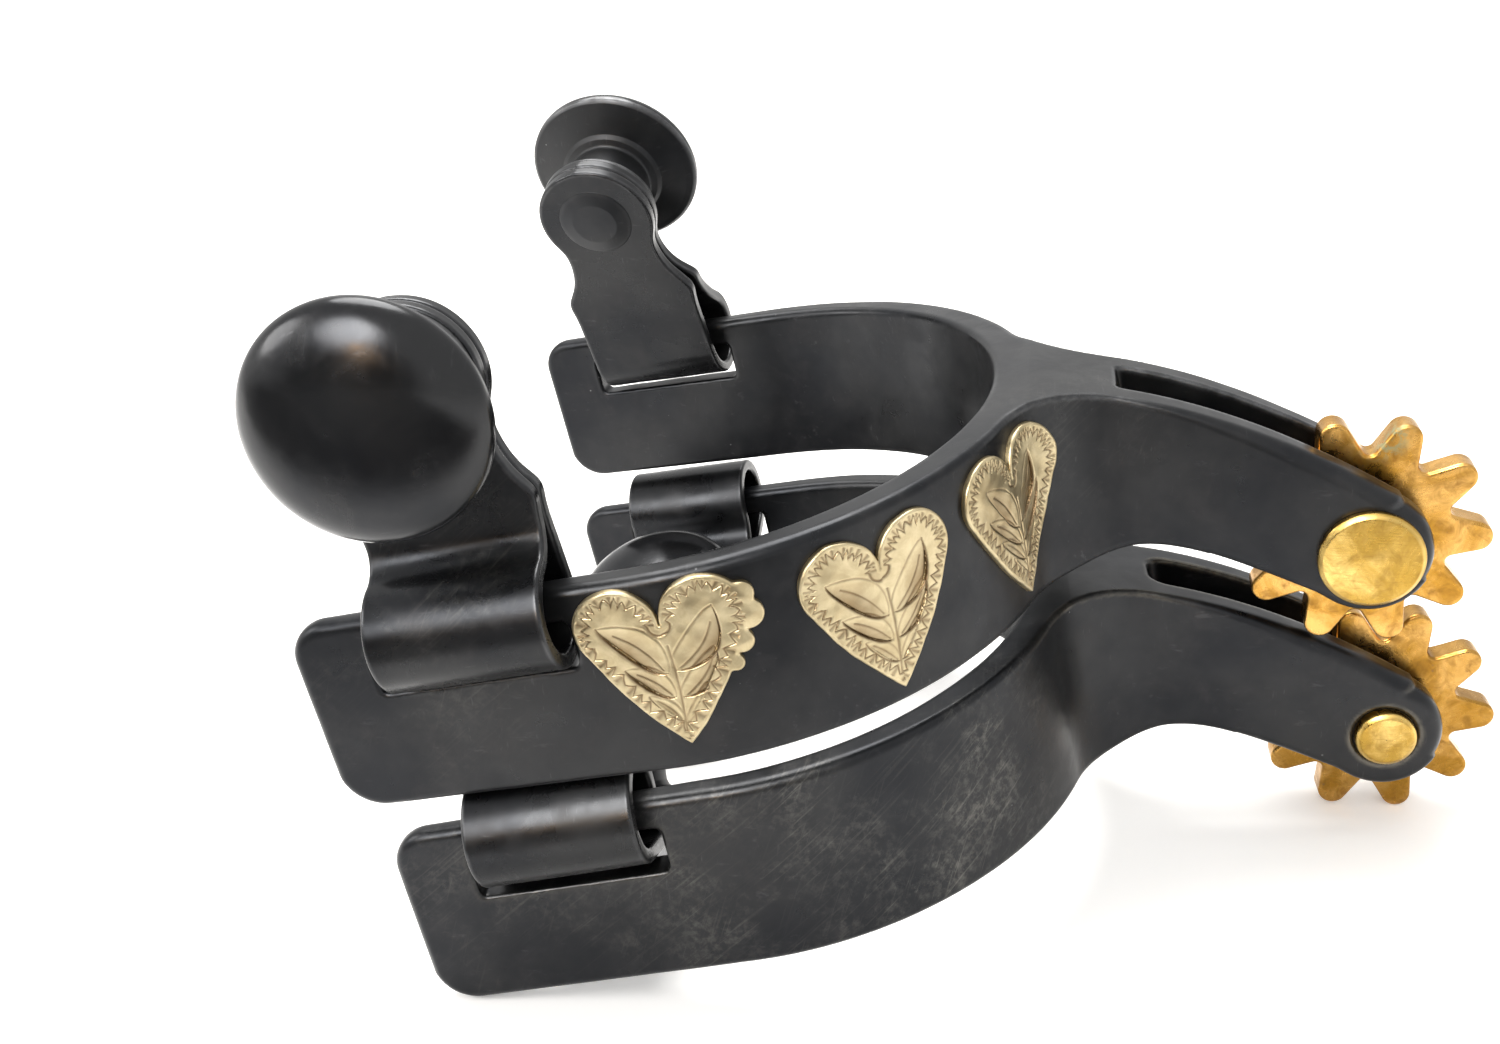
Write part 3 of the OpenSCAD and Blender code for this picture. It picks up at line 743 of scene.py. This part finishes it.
def build_pins():
    material = brass("pin_brass_brushed", base=(0.37, 0.225, 0.042), dark=(0.25, 0.145, 0.032),
                     light=(0.66, 0.46, 0.15), brushed=True)
    points, faces = lathe(rounded(PIN_PROFILE, 5), turns=128)
    x, z, height = points.T
    radius = np.hypot(x, z)
    # painted highlight: light rings on the head's bevel and on the rim of the tail end
    edge = (ring_weight(radius, 6.1, 0.35) * (height > 5)
            + ring_weight(radius, 3.75, 0.3) * (height < -8.4))
    placed = np.stack([x + PIN_X, height, z + PIN_Z], 1)
    for spur in SPURS:
        make(spur, "rowel_pin_turned", in_row(spur, placed), faces, material, "spur_frame",
             "rowel_pin", {"edge": np.clip(edge, 0, 1)}, flip=OUTWARD[spur] > 0)


# ------------------------------------------------------------------ strap hangers
LEAF_Y = SHEET / 2 + 0.05       # middle of each leaf from where the two meet
EYE_R = EYE_OUT_R - SHEET / 2   # middle of the sheet round the eye
LEAF_Z = 15.0                   # where the boot-side leaf turns flat
HEAD_R = 8.9
# half the leaf outline below its round head: x, z
LEAF_SIDE = [(7.25, 21.4), (7.35, 19.3), (7.75, 17.3), (8.55, 15.3), (9.55, 13.8), (10.45, 12.8),
             (10.78, 12.15), (10.70, 11.55), (10.38, 11.0), (10.25, 10.0), (10.2, 8.0),
             (10.2, -12.0)]


def leaf_outline():
    half = []
    for k in range(41):
        a = math.radians(90 - k * (90 + 33) / 40)
        half.append((HEAD_R * math.cos(a), RIVET_Z + HEAD_R * math.sin(a)))
    half = np.array(split(half + LEAF_SIDE, 0.35))
    # smooth the run through the waist and shoulder
    for _ in range(26):
        smooth = half.copy()
        smooth[2:-2] = 0.25 * half[1:-3] + 0.5 * half[2:-2] + 0.25 * half[3:-1]
        half = smooth
    return np.concatenate([half, half[::-1] * np.array([-1, 1])])


leaf_distance, _ = outline_fields(leaf_outline(), (-12.6, -9.0), (12.6, 38.0), 0.12)


def fold_field(leaf_y, eye_y, eye_z, bend_r):
    """distance to the bent sheet seen from its end: flat leaf on the boot side, round eye,
    and a reverse bend back to the flat outer leaf. The leaves meet at leaf_y"""
    boot, outer = leaf_y - LEAF_Y, leaf_y + LEAF_Y
    # boot side: straight run from the eye to the flat leaf
    dy, dz = boot - eye_y, LEAF_Z - eye_z
    reach = math.hypot(dy, dz)
    leave = math.atan2(dz, dy) + math.acos(EYE_R / reach)
    start = np.array([eye_y + EYE_R * math.cos(leave), eye_z + EYE_R * math.sin(leave)])
    run = math.sqrt(reach * reach - EYE_R * EYE_R)
    aim = (np.array([boot, LEAF_Z]) - start) / run
    # outer side: reverse bend
    bend_y = outer + bend_r
    bend_z = eye_z + math.sqrt((EYE_R + bend_r) ** 2 - (bend_y - eye_y) ** 2)
    join = math.atan2(bend_z - eye_z, bend_y - eye_y)
    # the eye runs clockwise from the reverse bend, under the bar, to the straight run
    span = (join - leave) % (2 * math.pi)

    def field(y, z):
        ey, ez = y - eye_y, z - eye_z
        on_eye = ((join - np.arctan2(ez, ey)) % (2 * math.pi)) < span
        eye = np.where(on_eye, np.abs(np.hypot(ey, ez) - EYE_R), 1e3)
        t = np.clip((y - start[0]) * aim[0] + (z - start[1]) * aim[1], 0, run)
        straight = np.hypot(y - start[0] - t * aim[0], z - start[1] - t * aim[1])
        boot_leaf = np.hypot(y - boot, np.minimum(z - LEAF_Z, 0))
        outer_leaf = np.hypot(y - outer, np.minimum(z - bend_z, 0))
        u, v = y - bend_y, z - bend_z
        on_bend = (u < 0) & (v < 0) & (np.arctan2(-v, -u) < join)
        bend = np.where(on_bend, np.abs(np.hypot(u, v) - bend_r), 1e3)
        return np.minimum(np.minimum(eye, straight),
                          np.minimum(np.minimum(boot_leaf, outer_leaf), bend)) - SHEET / 2
    return field


@functools.lru_cache
def hanger_sheet(fold, seed):
    """points, faces and edge wear of a hanger; equal hangers share them"""
    sheet = fold_field(*fold)

    def field(x, y, z):
        outline = leaf_distance(x, z - LEAF_LIFT)
        d = meet(sheet(y, z), outline, 0.42)
        # fill between the two leaves
        core = np.maximum(np.maximum(np.abs(y - fold[0]) - 0.6, outline + 0.7), 13.5 - z)
        return np.minimum(d, core) - 0.04 * uneven(x, y, z, 3.5, seed)

    points, faces = surface_net(field, (-12.2, -8.9, -8.9), (12.2, 8.9, 37.6), PART_CELL, 12)
    edge, _ = convexity(field, points, reach=0.6)
    return points, faces, edge


def button_profile():
    """heights from the middle of the two sheets, + away from the boot"""
    face, rim, dome_h = SHEET + 0.05, 11.4, 4.6
    # rivet tail on the boot side: radius, height, corner radius
    tail = [(0, -face - 0.72, 0), (3.4, -face - 0.62, 1.6), (5.5, -face - 0.10, 0.5),
            (5.75, -face + 0.14, 0.1), (3.0, -face + 0.3, 0)]
    # foot, neck and underside of the head
    neck = [(3.0, face - 0.2, 0), (8.5, face - 0.02, 0.2), (8.5, face + 0.85, 0.35),
            (7.2, face + 1.25, 0.3), (6.5, face + 1.9, 0.5), (6.25, face + 2.6, 0.5),
            (6.2, rim - 2.5, 0.7), (7.3, rim - 2.0, 0.4), (7.9, rim - 1.45, 0.35),
            (11.6, rim - 0.35, 0.6), (12.55, rim - 0.12, 0.3), (13.05, rim + 0.35, 0.3),
            (BUTTON_R, rim + 0.95, 0)]
    dome = [(BUTTON_R * math.cos(t), rim + 0.95 + (dome_h + 0.35) * math.sin(t))
            for t in np.linspace(0.03, math.pi / 2, 72)]
    return rounded(tail, 6) + rounded(neck, 5) + dome[:-1] + [(0, rim + dome_h + 1.3)]


# spur, arm, side, lean in degrees, offset, fold (leaf y, eye y, eye z, bend radius), seed
HANGERS = [
    ("right", "inner", -1, -121.0, (0, 0, 0), (-1.9, 0.45, 0.05, 5.0), 31),
    ("right", "outer", 1, -115.0, (0, 0, 0), (-1.9, 0.45, 0.05, 5.0), 31),
    ("left", "inner", -1, -21.0, (0, 0, 0), (-2.2, 0.6, -0.4, 26.0), 33),
    ("left", "outer", 1, 0.0, (1.0, -0.05, 0.0), (-2.3, 1.1, -0.35, 4.4), 35)]


def build_hangers():
    sheet_steel = steel("blued_steel_hanger", tone=0.85, rough=0.30,
                        rubs=[((-0.052, -0.0425, 0.063), 0.006, 0.015, 0.55)])
    button_steel = steel("blued_steel_button", tone=1.0, rough=0.20)
    button, button_faces = lathe(button_profile(), turns=144)
    x, z, height = button.T
    radius = np.hypot(x, z)
    # worn rim of the head, foot and tail; all but the dome is dull
    wear = (np.where(height > 12.2, 0, ring_weight(radius, 13.0, 0.35))
            + ring_weight(radius, 8.45, 0.2) * (height < 5)
            + 0.15 * ring_weight(radius, 5.3, 0.35) * (height < 0))
    button_looks = {"edge": np.clip(wear, 0, 1), "dull": np.clip((12.3 - height) / 0.6, 0, 1)}
    for spur, arm, side, lean, offset, fold, seed in HANGERS:
        place = functools.partial(hanger_in_row, spur, side, lean, offset)
        flip = side * OUTWARD[spur] < 0
        body = arm + "_strap_hanger"
        points, faces, edge = hanger_sheet(fold, seed)
        make(spur, arm + "_hanger_fold", place(points), faces, sheet_steel, body,
             arm + "_hanger", {"edge": edge}, flip=flip)
        on_leaf = np.stack([x, height + fold[0], z + RIVET_Z + LEAF_LIFT], 1)
        make(spur, arm + "_button_spool", place(on_leaf), button_faces, button_steel, body,
             arm + "_button", button_looks, flip=not flip)


# ------------------------------------------------------------------ heart overlays
HEART_W, HEART_H = 19.4, 20.2
# name, length along the outer face, height of the tip, pitch of the border zigzag,
# engraved leaves: base x, z, tip x, z, half width, bend
HEARTS = [
    ("front", 43.4, 3.7, 1.50, [
        (-0.4, 9.4, -6.9, 15.9, 2.05, 0.9), (0.4, 9.6, 5.9, 16.4, 2.05, -1.0),
        (-0.3, 6.3, -5.0, 10.4, 1.45, 0.5), (0.5, 6.2, 5.2, 11.4, 1.5, -0.6),
        (-0.1, 3.2, -3.2, 6.8, 0.85, 0.3), (0.3, 3.0, 3.4, 7.2, 0.9, -0.4)]),
    ("middle", 68.4, 2.3, 1.30, [
        (-0.3, 9.6, -6.6, 15.8, 1.9, 0.8), (0.5, 9.6, 5.9, 16.4, 1.95, -0.9),
        (-0.3, 6.5, -5.6, 11.0, 1.35, 0.5), (0.5, 6.4, 5.4, 11.6, 1.35, -0.5),
        (-0.1, 3.6, -3.6, 7.4, 0.9, 0.3), (0.3, 3.6, 3.6, 7.6, 0.9, -0.3)]),
    ("rear", 91.5, 2.6, 1.20, [
        (-0.3, 9.2, -5.6, 16.2, 1.5, 0.8), (0.5, 9.4, 4.8, 17.0, 1.55, -0.9),
        (-0.3, 7.0, -6.0, 12.4, 1.1, 0.5), (0.5, 7.0, 5.6, 12.8, 1.1, -0.5),
        (-0.2, 4.8, -4.4, 9.0, 0.85, 0.4), (0.4, 4.8, 4.4, 9.2, 0.85, -0.4),
        (0.0, 2.6, -2.7, 6.0, 0.6, 0.2), (0.2, 2.6, 2.7, 6.2, 0.6, -0.2)])]
# lumps on the left front heart's edge, and the bulges on its face: x, z, radius
LUMPS = [(9.5, 14.2, 1.75), (9.2, 16.7, 1.5), (8.2, 11.2, 1.35), (7.0, 8.8, 0.95)]
BULGES = [(9.6, 14.3, 1.3), (9.3, 16.7, 1.1), (8.3, 11.3, 1.0)]


def heart_outline():
    """tip at the origin, slightly bowed sides, two round lobes"""
    r = HEART_W / 4
    lobe_z = HEART_H - r
    d = math.hypot(r, lobe_z)
    a = math.atan2(lobe_z, r) - math.asin(r / d)
    t = math.sqrt(d * d - r * r)
    side_x, side_z = t * math.cos(a), t * math.sin(a)
    half = [(i * side_x + 2.6 * i * (1 - i) * math.sin(a),
             i * side_z - 2.6 * i * (1 - i) * math.cos(a)) for i in np.linspace(0, 1, 22)]
    first = math.atan2(side_z - lobe_z, side_x - r)
    half += [(r + r * math.cos(k), lobe_z + r * math.sin(k))
             for k in np.linspace(first, math.pi, 48)[1:-1]]
    half = np.array(half + [(0.05, lobe_z - 0.1)])
    return np.concatenate([half, (half * np.array([-1, 1]))[::-1][:-1]])


heart_distance, heart_along = outline_fields(heart_outline(), (-13.0, -1.5), (13.0, 21.6), 0.1)


def leaf_cut(x, z, x0, z0, x1, z1, width, bend):
    """one engraved leaf: height of its tilted blade, and its rim and vein lines"""
    run = np.array([x1, z1]) - np.array([x0, z0])
    length = np.linalg.norm(run)
    u = run / length
    v = np.array([-u[1], u[0]])
    if x1 < x0:
        v = -v
    t = ((x - x0) * u[0] + (z - z0) * u[1]) / length
    tc = np.clip(t, 0, 1)
    off = (x - x0) * v[0] + (z - z0) * v[1] - bend * np.sin(np.pi * tc)
    half = width * np.sin(np.pi * tc ** 0.85) ** 0.7 + 1e-6
    q = off / np.maximum(half, 0.05)
    inside = (t > 0) & (t < 1) & (np.abs(q) < 1)
    tilt = -0.48 * (0.5 - 0.5 * q) ** 1.3 * np.sin(np.pi * tc) ** 0.6 * min(1.0, width / 1.5)
    rim = np.exp(-((np.abs(off) - half) / 0.13) ** 2) * ((t > -0.02) & (t < 1.02))
    rim = rim * (0.55 + 0.45 * (off < 0))
    vein = np.exp(-((off + 0.1 * width) / 0.11) ** 2) * ((t > 0.05) & (t < 0.80)) * 0.6
    return np.where(inside, tilt, 0), np.maximum(rim, vein)


def engraving(x, z, pitch, leaves, seed):
    """height of the cut surface and how dark it is coloured over a heart: dark cut lines, and
    painted shade that deepens with the depth of each leaf's tilted blade
    """
    d, s = heart_distance(x, z), heart_along(x, z)
    phase = np.random.default_rng(seed).uniform(0, 6)
    # zigzag border with a notch in each turn
    turn = ((s + phase) / pitch + 0.16 * np.sin(s * 1.3 + phase)) % 1.0
    tri = np.abs(turn - 0.5) * 2
    swing = 0.75 + 0.25 * np.sin(s * 2.1 + phase)
    middle = -1.25 - 0.15 * np.sin(s * 0.7)
    zigzag = np.exp(-((d - (middle + 1.25 * swing * (tri - 0.5))) / (0.12 + 0.10 * (1 - tri))) ** 2)
    zigzag = zigzag * ((d < -0.22) & (d > -2.5))
    notch = np.exp(-((turn - 0.5) / 0.16) ** 2) * ((d < -0.45) & (d > -1.5)) * 0.7
    stem_x = x - 0.5 * np.sin((z - 2) / 5.0) + 0.1
    stem = np.exp(-(stem_x / 0.16) ** 2) * ((z > 1.8) & (z < 12.8)) * 0.8
    line = np.maximum(np.maximum(zigzag, notch), stem)
    height = np.zeros(np.shape(x))
    for leaf in leaves:
        blade, cut = leaf_cut(x, z, *leaf)
        height = np.minimum(height, blade * (d < -1.9))
        line = np.maximum(line, cut * (d < -1.6))
    # light waviness of the ground
    wave = 0.03 * np.sin(x * 1.9 + 0.8 * np.sin(z * 1.3) + phase)
    height = height + wave * np.sin(z * 1.6 + phase)
    # darkness: the cut lines, plus painted shade from the blade depth on the deep side of each leaf
    return height - 0.13 * line, np.clip(0.95 * line - 1.9 * np.minimum(height, 0), 0, 1)


def heart_field(cut, seed, lumpy):
    """x across, y out of the band, z up; cut(x, z) gives the engraving"""
    def field(x, y, z):
        d = heart_distance(x, z) + 0.10 * uneven(x, y * 0, z, 1.1, seed)
        for cx, cz, r in LUMPS if lumpy else ():
            d = merge(d, np.hypot(x - cx, z - cz) - r, 0.5)
        top = (0.80 + np.where(d < -0.05, cut(x, z)[0], 0)
               - 0.05 * uneven(x, y * 0, z, 2.6, seed + 3))
        for cx, cz, r in BULGES if lumpy else ():
            top = top + 0.22 * np.exp(-((x - cx) ** 2 + (z - cz) ** 2) / r ** 2)
        return meet(meet(d, (y - top) * 0.9, 0.28), -y - 0.15, 0.02)
    return field


def unit(v):
    return v / np.linalg.norm(v, axis=-1, keepdims=True)


def face_path():
    """outer face of the band in plan, from the arm end rearwards"""
    start = np.array([-ARM_L, ARM_OUT])
    end = np.array([HEEL_OUT_X + HEEL_OUT_R * math.sin(OUTER_TILT),
                    HEEL_OUT_R * math.cos(OUTER_TILT)])
    path = [start + (end - start) * t for t in np.linspace(0, 1, 60)[:-1]]
    path += [np.array([HEEL_OUT_X + HEEL_OUT_R * math.cos(a), HEEL_OUT_R * math.sin(a)])
             for a in np.linspace(math.pi / 2 - OUTER_TILT, FILLET_A, 160)[:-1]]
    path += [np.array([FILLET_X, FILLET_Y]) + FILLET_R * np.array([math.cos(a), math.sin(a)])
             for a in np.linspace(math.pi + FILLET_A, 1.5 * math.pi, 60)]
    return np.array(path)


FACE = face_path()
FACE_S = np.concatenate([[0], np.cumsum(np.linalg.norm(np.diff(FACE, axis=0), axis=1))])
FACE_TANGENT = unit(np.gradient(FACE, FACE_S, axis=0))


def face_at(table, s):
    return np.stack([np.interp(s, FACE_S, table[:, 0]), np.interp(s, FACE_S, table[:, 1])], -1)


def on_face(along, low, points):
    """heart points (across, out, up) laid on the outer face round the length 'along'"""
    across = (FACE - face_at(FACE, along)) @ unit(face_at(FACE_TANGENT, along))
    close = (FACE_S > along - 16) & (FACE_S < along + 16)
    s = np.interp(points[:, 0], across[close], FACE_S[close])
    tangent = unit(face_at(FACE_TANGENT, s))
    normal = np.stack([-tangent[:, 1], tangent[:, 0]], 1)
    plan = face_at(FACE, s) + normal * points[:, 1:2]
    return np.stack([plan[:, 0], plan[:, 1], points[:, 2] + low], 1)


def build_hearts():
    material = silver("engraved_overlay")
    for spur, first_seed in (("right", 47), ("left", 40)):
        for kind, (name, along, low, pitch, leaves) in enumerate(HEARTS):
            seed = first_seed + kind
            cut = functools.partial(engraving, pitch=pitch, leaves=leaves, seed=seed)
            field = heart_field(cut, seed, lumpy=(spur, name) == ("left", "front"))
            points, faces = surface_net(field, (-11.4, -0.5, -0.6), (11.6, 1.5, 21.0),
                                        HEART_CELL, 8)
            x, y, z = points.T
            # the cut attribute holds the dark cut lines and the painted shade of the leaf blades
            make(spur, f"heart_{name}_engraved", in_row(spur, on_face(along, low, points)), faces,
                 material, "spur_frame", "heart_" + name,
                 {"cut": cut(x, z)[1] * (y > 0.3), "edge": np.clip(1 - y / 0.5, 0, 1)},
                 flip=OUTWARD[spur] < 0)


# ------------------------------------------------------------------ table, light, camera
def build_table():
    mesh = bpy.data.meshes.new("table")
    mesh.from_pydata([(-6, -3, 0), (6, -3, 0), (6, 9, 0), (-6, 9, 0)], [], [(0, 1, 2, 3)])
    table = bpy.data.objects.new("table", mesh)
    mesh.materials.append(table_material())
    SCENE.collection.objects.link(table)


def build_world():
    """an even white room; in reflections the side the camera stands on is dark, with a
    softbox above it and a small warm lamp"""
    studio = bpy.data.worlds.new("studio")
    SCENE.world = studio
    studio.use_nodes = True
    tree = studio.node_tree
    tree.nodes.clear()
    n = Nodes(tree, "Generated")

    def toward(direction, cosines, levels):
        """changes from the first level to the second as the view nears a direction"""
        dot = n.add("VectorMath", {0: n.coords, 1: tuple(unit(np.array(direction)))},
                    operation="DOT_PRODUCT")
        return n.ramp(dot.outputs["Value"], over=cosines, to=levels)

    ray = n.add("LightPath").outputs
    glossy = ray["Is Glossy Ray"]
    room = toward((-0.30, -0.945, 0.02), cosines=(0.78, 0.94), levels=(1.0, 0.05))
    softbox = toward((-0.27, -0.77, 0.57), cosines=(0.945, 0.99), levels=(0.0, 20.0))
    lamp = toward((-0.192, -0.93, 0.313), cosines=(0.9962, 0.9985), levels=(0.0, 14.0))
    lamp = n.times(lamp, glossy)
    room = n.times(n.math("MAXIMUM", room, ray["Is Camera Ray"]), 1.15)
    strength = n.math("ADD", n.math("ADD", room, n.times(softbox, glossy)), lamp)
    color = n.mix(n.math("MINIMUM", lamp, 1.0), (1.0, 0.995, 0.985), (1.0, 0.55, 0.18))
    background = n.add("Background", {"Color": color, "Strength": strength})
    n.add("OutputWorld", {0: background.outputs[0]})


def add_softbox(name, location, size, power, color):
    """round area light aimed just above the table's middle"""
    light = bpy.data.lights.new(name, "AREA")
    light.shape = "DISK"
    light.size = size
    light.energy = power
    light.color = color
    lamp = bpy.data.objects.new(name, light)
    SCENE.collection.objects.link(lamp)
    aim = Vector((0, 0, 0.03)) - Vector(location)
    lamp.location = location
    lamp.rotation_euler = aim.to_track_quat("-Z", "Y").to_euler()


def add_camera():
    camera = bpy.data.cameras.new("camera")
    camera.sensor_width = 36.0
    camera.sensor_fit = "HORIZONTAL"
    camera.lens = 36.659
    camera.shift_x = -0.02943
    camera.shift_y = -0.07381
    camera.clip_start = 0.01
    camera.clip_end = 50
    holder = bpy.data.objects.new("camera", camera)
    SCENE.collection.objects.link(holder)
    forward = unit(np.array([-0.1311, 0.9267, -0.3523]))
    right = np.array([0.9913, 0.1200, -0.0534])
    right = unit(right - forward * (right @ forward))
    position = np.array([5.957, -186.445, 133.05]) / 1000
    rows = np.column_stack([right, np.cross(right, forward), -forward, position])
    holder.matrix_world = Matrix([*rows.tolist(), [0, 0, 0, 1]])
    SCENE.camera = holder


build_bands()
build_rowels()
build_pins()
build_hangers()
build_hearts()
build_table()
build_world()
add_softbox("softbox_top", location=(-0.15, 0.25, 0.75), size=0.55, power=9.0,
            color=(1.0, 0.99, 0.97))
add_softbox("softbox_left", location=(-0.75, -0.25, 0.45), size=0.40, power=3.5,
            color=(1.0, 0.98, 0.95))
add_camera()
SCENE.view_settings.view_transform = "Standard"
SCENE.view_settings.look = "None"
